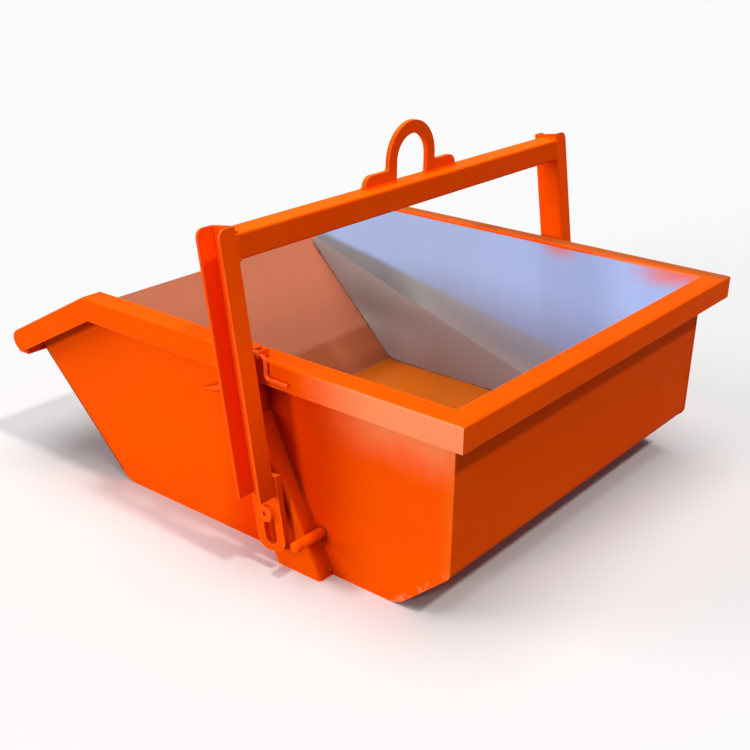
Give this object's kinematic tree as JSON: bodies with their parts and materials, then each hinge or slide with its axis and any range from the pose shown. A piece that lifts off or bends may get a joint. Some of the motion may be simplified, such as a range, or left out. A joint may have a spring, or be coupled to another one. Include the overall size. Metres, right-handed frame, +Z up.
{
  "type": "tipping hopper",
  "caption": "Open welded tub with a sloping front and pouring lip, hung on side pivots in a swinging bail with a lifting eye, for tipping loose material by crane.",
  "frame": {"origin": "on the ground under the middle of the whole hopper", "axes": "+X to the pouring lip, +Y to the latch side, +Z up"},
  "size_m": [1.5, 1.406, 0.95],
  "materials": {
    "orange_paint": "gloss",
    "worn_plate": "worn",
    "bare_steel": "satin",
    "bronze": "satin"
  },
  "bodies": {
    "tub": {"rear_panel": "orange_paint", "rear_chamfer_plate": "orange_paint", "floor_plate": "worn_plate", "front_slope_plate": "worn_plate", "lip_channel": "orange_paint", "rim_angle_rear": "orange_paint", "latch_eye_rear": "orange_paint", "latch_eye_front": "orange_paint", "side_plate_near": "orange_paint", "side_plate_far": "orange_paint", "rim_angle_near": "orange_paint", "rim_angle_far": "orange_paint", "ear_angle_near": "orange_paint", "ear_angle_far": "orange_paint", "pivot_bracket_near": "orange_paint", "pivot_bracket_far": "orange_paint", "pivot_doubler_near": "orange_paint", "pivot_doubler_far": "orange_paint", "pivot_pin_near": "bare_steel", "pivot_pin_far": "bare_steel", "pivot_washer_near": "orange_paint", "pivot_washer_far": "orange_paint", "pivot_screw_near": "bare_steel", "pivot_screw_far": "bare_steel", "tipping_stop_near": "orange_paint", "tipping_stop_far": "orange_paint", "front_stop_near": "orange_paint", "front_stop_far": "orange_paint"},
    "pivot_bushes": {"pivot_bush_near": "bronze", "pivot_bush_far": "bronze"},
    "bail": {"bail_leg_near": "orange_paint", "bail_leg_far": "orange_paint", "bail_lug_near": "orange_paint", "bail_lug_far": "orange_paint", "cross_beam": "orange_paint", "lifting_eye": "orange_paint"},
    "latch": {"latch_rod": "orange_paint", "latch_collar": "orange_paint"}
  },
  "joints": [
    {"name": "bail_swing", "type": "hinge", "parent": "tub", "child": "pivot_bushes", "pos_m": [-0.228, 0, 0.154], "axis": [0, -1, 0], "range_deg": [0, 94]},
    {"name": "bail_lift", "type": "slide", "parent": "pivot_bushes", "child": "bail", "axis": [0.1547, 0, 0.988], "range_m": [0, 0.066]},
    {"name": "latch_turn", "type": "hinge", "parent": "tub", "child": "latch", "pos_m": [-0.22056, 0.636, 0.535], "axis": [1, 0, 0], "range_deg": [0, 59]}
  ],
  "couplings": [
    {"joint": "bail_lift", "follows": "bail_swing", "m_per_rad": 0.040228}
  ]
}
